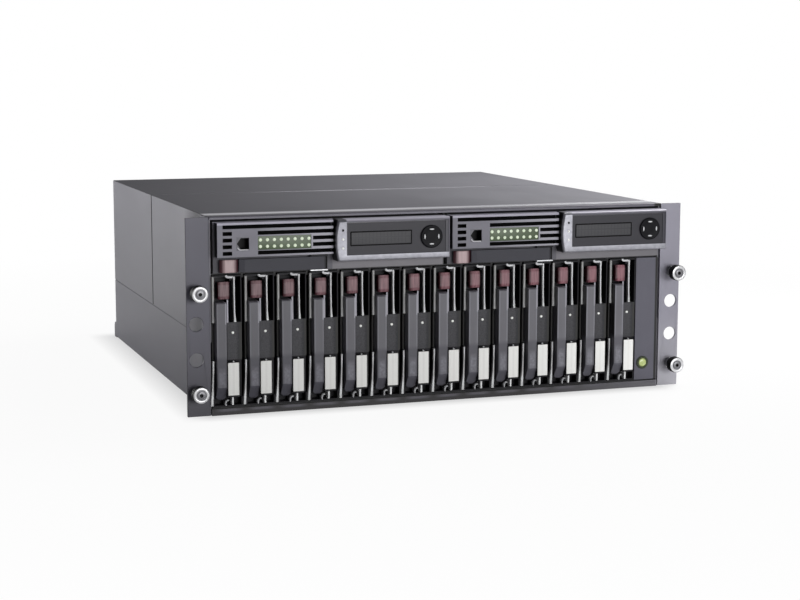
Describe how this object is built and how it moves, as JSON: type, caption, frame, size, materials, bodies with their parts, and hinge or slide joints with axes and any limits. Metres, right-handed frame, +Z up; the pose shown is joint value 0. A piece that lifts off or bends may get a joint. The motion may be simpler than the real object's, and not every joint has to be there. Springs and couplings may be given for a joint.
{
  "type": "rack storage enclosure",
  "caption": "Rack-mount storage enclosure with a row of hot-plug drives on edge below front controllers with displays, rack ears with thumbscrews, and rear power supplies.",
  "frame": {"origin": "on the resting face midway between the sides, in the plane where the rack ears meet the rails", "axes": "+X to the right seen from the front, +Y from the front to the rear, +Z up"},
  "size_m": [0.4826, 0.4862, 0.1768],
  "materials": {
    "shell_paint": "fine satin paint",
    "cover_paint": "fine satin paint",
    "ear_paint": "fine satin paint",
    "screw_steel": "bright nickel, knurled",
    "guide_plastic": "moulded black",
    "board": "circuit board",
    "panel_plastic": "fine moulded texture",
    "module_steel": "plated sheet",
    "carrier_metal": "dark moulded bezel on a cast disk",
    "lever_plastic": "moulded grey",
    "latch_plastic": "moulded mauve",
    "controller_metal": "painted housing with a dark display",
    "pad_plastic": "black rubberised plastic"
  },
  "bodies": {
    "enclosure": {"chassis_tub": "shell_paint", "top_covers": "cover_paint", "rack_ears": "ear_paint", "thumbscrews": "screw_steel", "drive_guides": "guide_plastic", "backplane": "board", "status_panel": "panel_plastic", "io_modules": "module_steel"},
    "drive_01": {"drive_carrier_01": "carrier_metal"},
    "drive_lever_01": {"drive_lever_01": "lever_plastic"},
    "drive_latch_01": {"drive_latch_01": "latch_plastic"},
    "drive_02": {"drive_carrier_02": "carrier_metal"},
    "drive_lever_02": {"drive_lever_02": "lever_plastic"},
    "drive_latch_02": {"drive_latch_02": "latch_plastic"},
    "drive_03": {"drive_carrier_03": "carrier_metal"},
    "drive_lever_03": {"drive_lever_03": "lever_plastic"},
    "drive_latch_03": {"drive_latch_03": "latch_plastic"},
    "drive_04": {"drive_carrier_04": "carrier_metal"},
    "drive_lever_04": {"drive_lever_04": "lever_plastic"},
    "drive_latch_04": {"drive_latch_04": "latch_plastic"},
    "drive_05": {"drive_carrier_05": "carrier_metal"},
    "drive_lever_05": {"drive_lever_05": "lever_plastic"},
    "drive_latch_05": {"drive_latch_05": "latch_plastic"},
    "drive_06": {"drive_carrier_06": "carrier_metal"},
    "drive_lever_06": {"drive_lever_06": "lever_plastic"},
    "drive_latch_06": {"drive_latch_06": "latch_plastic"},
    "drive_07": {"drive_carrier_07": "carrier_metal"},
    "drive_lever_07": {"drive_lever_07": "lever_plastic"},
    "drive_latch_07": {"drive_latch_07": "latch_plastic"},
    "drive_08": {"drive_carrier_08": "carrier_metal"},
    "drive_lever_08": {"drive_lever_08": "lever_plastic"},
    "drive_latch_08": {"drive_latch_08": "latch_plastic"},
    "drive_09": {"drive_carrier_09": "carrier_metal"},
    "drive_lever_09": {"drive_lever_09": "lever_plastic"},
    "drive_latch_09": {"drive_latch_09": "latch_plastic"},
    "drive_10": {"drive_carrier_10": "carrier_metal"},
    "drive_lever_10": {"drive_lever_10": "lever_plastic"},
    "drive_latch_10": {"drive_latch_10": "latch_plastic"},
    "drive_11": {"drive_carrier_11": "carrier_metal"},
    "drive_lever_11": {"drive_lever_11": "lever_plastic"},
    "drive_latch_11": {"drive_latch_11": "latch_plastic"},
    "drive_12": {"drive_carrier_12": "carrier_metal"},
    "drive_lever_12": {"drive_lever_12": "lever_plastic"},
    "drive_latch_12": {"drive_latch_12": "latch_plastic"},
    "drive_13": {"drive_carrier_13": "carrier_metal"},
    "drive_lever_13": {"drive_lever_13": "lever_plastic"},
    "drive_latch_13": {"drive_latch_13": "latch_plastic"},
    "drive_14": {"drive_carrier_14": "carrier_metal"},
    "drive_lever_14": {"drive_lever_14": "lever_plastic"},
    "drive_latch_14": {"drive_latch_14": "latch_plastic"},
    "controller_1": {"controller_1": "controller_metal"},
    "controller_lever_1": {"controller_lever_1": "lever_plastic"},
    "controller_latch_1": {"controller_latch_1": "latch_plastic"},
    "direction_pad_1": {"direction_pad_1": "pad_plastic"},
    "controller_2": {"controller_2": "controller_metal"},
    "controller_lever_2": {"controller_lever_2": "lever_plastic"},
    "controller_latch_2": {"controller_latch_2": "latch_plastic"},
    "direction_pad_2": {"direction_pad_2": "pad_plastic"},
    "power_supply_1": {"power_supply_1": "module_steel"},
    "power_supply_2": {"power_supply_2": "module_steel"}
  },
  "joints": [
    {"name": "drive_slide_01", "type": "slide", "parent": "enclosure", "child": "drive_01", "axis": [0, -1, 0], "range_m": [0, 0.2]},
    {"name": "drive_lever_hinge_01", "type": "hinge", "parent": "drive_01", "child": "drive_lever_01", "pos_m": [-0.21135, 0.0002, 0.017], "axis": [1, 0, 0], "range_deg": [0, 55]},
    {"name": "drive_latch_press_01", "type": "slide", "parent": "drive_01", "child": "drive_latch_01", "axis": [0, 1, 0], "range_m": [0, 0.002], "stiffness_N_per_m": 400},
    {"name": "drive_slide_02", "type": "slide", "parent": "enclosure", "child": "drive_02", "axis": [0, -1, 0], "range_m": [0, 0.2]},
    {"name": "drive_lever_hinge_02", "type": "hinge", "parent": "drive_02", "child": "drive_lever_02", "pos_m": [-0.18165, 0.0002, 0.017], "axis": [1, 0, 0], "range_deg": [0, 55]},
    {"name": "drive_latch_press_02", "type": "slide", "parent": "drive_02", "child": "drive_latch_02", "axis": [0, 1, 0], "range_m": [0, 0.002], "stiffness_N_per_m": 400},
    {"name": "drive_slide_03", "type": "slide", "parent": "enclosure", "child": "drive_03", "axis": [0, -1, 0], "range_m": [0, 0.2]},
    {"name": "drive_lever_hinge_03", "type": "hinge", "parent": "drive_03", "child": "drive_lever_03", "pos_m": [-0.15195, 0.0002, 0.017], "axis": [1, 0, 0], "range_deg": [0, 55]},
    {"name": "drive_latch_press_03", "type": "slide", "parent": "drive_03", "child": "drive_latch_03", "axis": [0, 1, 0], "range_m": [0, 0.002], "stiffness_N_per_m": 400},
    {"name": "drive_slide_04", "type": "slide", "parent": "enclosure", "child": "drive_04", "axis": [0, -1, 0], "range_m": [0, 0.2]},
    {"name": "drive_lever_hinge_04", "type": "hinge", "parent": "drive_04", "child": "drive_lever_04", "pos_m": [-0.12225, 0.0002, 0.017], "axis": [1, 0, 0], "range_deg": [0, 55]},
    {"name": "drive_latch_press_04", "type": "slide", "parent": "drive_04", "child": "drive_latch_04", "axis": [0, 1, 0], "range_m": [0, 0.002], "stiffness_N_per_m": 400},
    {"name": "drive_slide_05", "type": "slide", "parent": "enclosure", "child": "drive_05", "axis": [0, -1, 0], "range_m": [0, 0.2]},
    {"name": "drive_lever_hinge_05", "type": "hinge", "parent": "drive_05", "child": "drive_lever_05", "pos_m": [-0.09255, 0.0002, 0.017], "axis": [1, 0, 0], "range_deg": [0, 55]},
    {"name": "drive_latch_press_05", "type": "slide", "parent": "drive_05", "child": "drive_latch_05", "axis": [0, 1, 0], "range_m": [0, 0.002], "stiffness_N_per_m": 400},
    {"name": "drive_slide_06", "type": "slide", "parent": "enclosure", "child": "drive_06", "axis": [0, -1, 0], "range_m": [0, 0.2]},
    {"name": "drive_lever_hinge_06", "type": "hinge", "parent": "drive_06", "child": "drive_lever_06", "pos_m": [-0.06285, 0.0002, 0.017], "axis": [1, 0, 0], "range_deg": [0, 55]},
    {"name": "drive_latch_press_06", "type": "slide", "parent": "drive_06", "child": "drive_latch_06", "axis": [0, 1, 0], "range_m": [0, 0.002], "stiffness_N_per_m": 400},
    {"name": "drive_slide_07", "type": "slide", "parent": "enclosure", "child": "drive_07", "axis": [0, -1, 0], "range_m": [0, 0.2]},
    {"name": "drive_lever_hinge_07", "type": "hinge", "parent": "drive_07", "child": "drive_lever_07", "pos_m": [-0.03315, 0.0002, 0.017], "axis": [1, 0, 0], "range_deg": [0, 55]},
    {"name": "drive_latch_press_07", "type": "slide", "parent": "drive_07", "child": "drive_latch_07", "axis": [0, 1, 0], "range_m": [0, 0.002], "stiffness_N_per_m": 400},
    {"name": "drive_slide_08", "type": "slide", "parent": "enclosure", "child": "drive_08", "axis": [0, -1, 0], "range_m": [0, 0.2]},
    {"name": "drive_lever_hinge_08", "type": "hinge", "parent": "drive_08", "child": "drive_lever_08", "pos_m": [-0.00345, 0.0002, 0.017], "axis": [1, 0, 0], "range_deg": [0, 55]},
    {"name": "drive_latch_press_08", "type": "slide", "parent": "drive_08", "child": "drive_latch_08", "axis": [0, 1, 0], "range_m": [0, 0.002], "stiffness_N_per_m": 400},
    {"name": "drive_slide_09", "type": "slide", "parent": "enclosure", "child": "drive_09", "axis": [0, -1, 0], "range_m": [0, 0.2]},
    {"name": "drive_lever_hinge_09", "type": "hinge", "parent": "drive_09", "child": "drive_lever_09", "pos_m": [0.02625, 0.0002, 0.017], "axis": [1, 0, 0], "range_deg": [0, 55]},
    {"name": "drive_latch_press_09", "type": "slide", "parent": "drive_09", "child": "drive_latch_09", "axis": [0, 1, 0], "range_m": [0, 0.002], "stiffness_N_per_m": 400},
    {"name": "drive_slide_10", "type": "slide", "parent": "enclosure", "child": "drive_10", "axis": [0, -1, 0], "range_m": [0, 0.2]},
    {"name": "drive_lever_hinge_10", "type": "hinge", "parent": "drive_10", "child": "drive_lever_10", "pos_m": [0.05595, 0.0002, 0.017], "axis": [1, 0, 0], "range_deg": [0, 55]},
    {"name": "drive_latch_press_10", "type": "slide", "parent": "drive_10", "child": "drive_latch_10", "axis": [0, 1, 0], "range_m": [0, 0.002], "stiffness_N_per_m": 400},
    {"name": "drive_slide_11", "type": "slide", "parent": "enclosure", "child": "drive_11", "axis": [0, -1, 0], "range_m": [0, 0.2]},
    {"name": "drive_lever_hinge_11", "type": "hinge", "parent": "drive_11", "child": "drive_lever_11", "pos_m": [0.08565, 0.0002, 0.017], "axis": [1, 0, 0], "range_deg": [0, 55]},
    {"name": "drive_latch_press_11", "type": "slide", "parent": "drive_11", "child": "drive_latch_11", "axis": [0, 1, 0], "range_m": [0, 0.002], "stiffness_N_per_m": 400},
    {"name": "drive_slide_12", "type": "slide", "parent": "enclosure", "child": "drive_12", "axis": [0, -1, 0], "range_m": [0, 0.2]},
    {"name": "drive_lever_hinge_12", "type": "hinge", "parent": "drive_12", "child": "drive_lever_12", "pos_m": [0.11535, 0.0002, 0.017], "axis": [1, 0, 0], "range_deg": [0, 55]},
    {"name": "drive_latch_press_12", "type": "slide", "parent": "drive_12", "child": "drive_latch_12", "axis": [0, 1, 0], "range_m": [0, 0.002], "stiffness_N_per_m": 400},
    {"name": "drive_slide_13", "type": "slide", "parent": "enclosure", "child": "drive_13", "axis": [0, -1, 0], "range_m": [0, 0.2]},
    {"name": "drive_lever_hinge_13", "type": "hinge", "parent": "drive_13", "child": "drive_lever_13", "pos_m": [0.14505, 0.0002, 0.017], "axis": [1, 0, 0], "range_deg": [0, 55]},
    {"name": "drive_latch_press_13", "type": "slide", "parent": "drive_13", "child": "drive_latch_13", "axis": [0, 1, 0], "range_m": [0, 0.002], "stiffness_N_per_m": 400},
    {"name": "drive_slide_14", "type": "slide", "parent": "enclosure", "child": "drive_14", "axis": [0, -1, 0], "range_m": [0, 0.2]},
    {"name": "drive_lever_hinge_14", "type": "hinge", "parent": "drive_14", "child": "drive_lever_14", "pos_m": [0.17475, 0.0002, 0.017], "axis": [1, 0, 0], "range_deg": [0, 55]},
    {"name": "drive_latch_press_14", "type": "slide", "parent": "drive_14", "child": "drive_latch_14", "axis": [0, 1, 0], "range_m": [0, 0.002], "stiffness_N_per_m": 400},
    {"name": "controller_slide_1", "type": "slide", "parent": "enclosure", "child": "controller_1", "axis": [0, -1, 0], "range_m": [0, 0.2]},
    {"name": "controller_lever_hinge_1", "type": "hinge", "parent": "controller_1", "child": "controller_lever_1", "pos_m": [-0.116, -0.00585, 0.13345], "axis": [0, 0, 1], "range_deg": [0, 60]},
    {"name": "controller_latch_press_1", "type": "slide", "parent": "controller_1", "child": "controller_latch_1", "axis": [0, 1, 0], "range_m": [0, 0.002], "stiffness_N_per_m": 400},
    {"name": "direction_pad_press_1", "type": "slide", "parent": "controller_1", "child": "direction_pad_1", "axis": [0, 1, 0], "range_m": [0, 0.0006], "stiffness_N_per_m": 900},
    {"name": "controller_slide_2", "type": "slide", "parent": "enclosure", "child": "controller_2", "axis": [0, -1, 0], "range_m": [0, 0.2]},
    {"name": "controller_lever_hinge_2", "type": "hinge", "parent": "controller_2", "child": "controller_lever_2", "pos_m": [0.1031, -0.00585, 0.13345], "axis": [0, 0, 1], "range_deg": [0, 60]},
    {"name": "controller_latch_press_2", "type": "slide", "parent": "controller_2", "child": "controller_latch_2", "axis": [0, 1, 0], "range_m": [0, 0.002], "stiffness_N_per_m": 400},
    {"name": "direction_pad_press_2", "type": "slide", "parent": "controller_2", "child": "direction_pad_2", "axis": [0, 1, 0], "range_m": [0, 0.0006], "stiffness_N_per_m": 900},
    {"name": "power_supply_slide_1", "type": "slide", "parent": "enclosure", "child": "power_supply_1", "axis": [0, 1, 0], "range_m": [0, 0.25]},
    {"name": "power_supply_slide_2", "type": "slide", "parent": "enclosure", "child": "power_supply_2", "axis": [0, 1, 0], "range_m": [0, 0.25]}
  ]
}
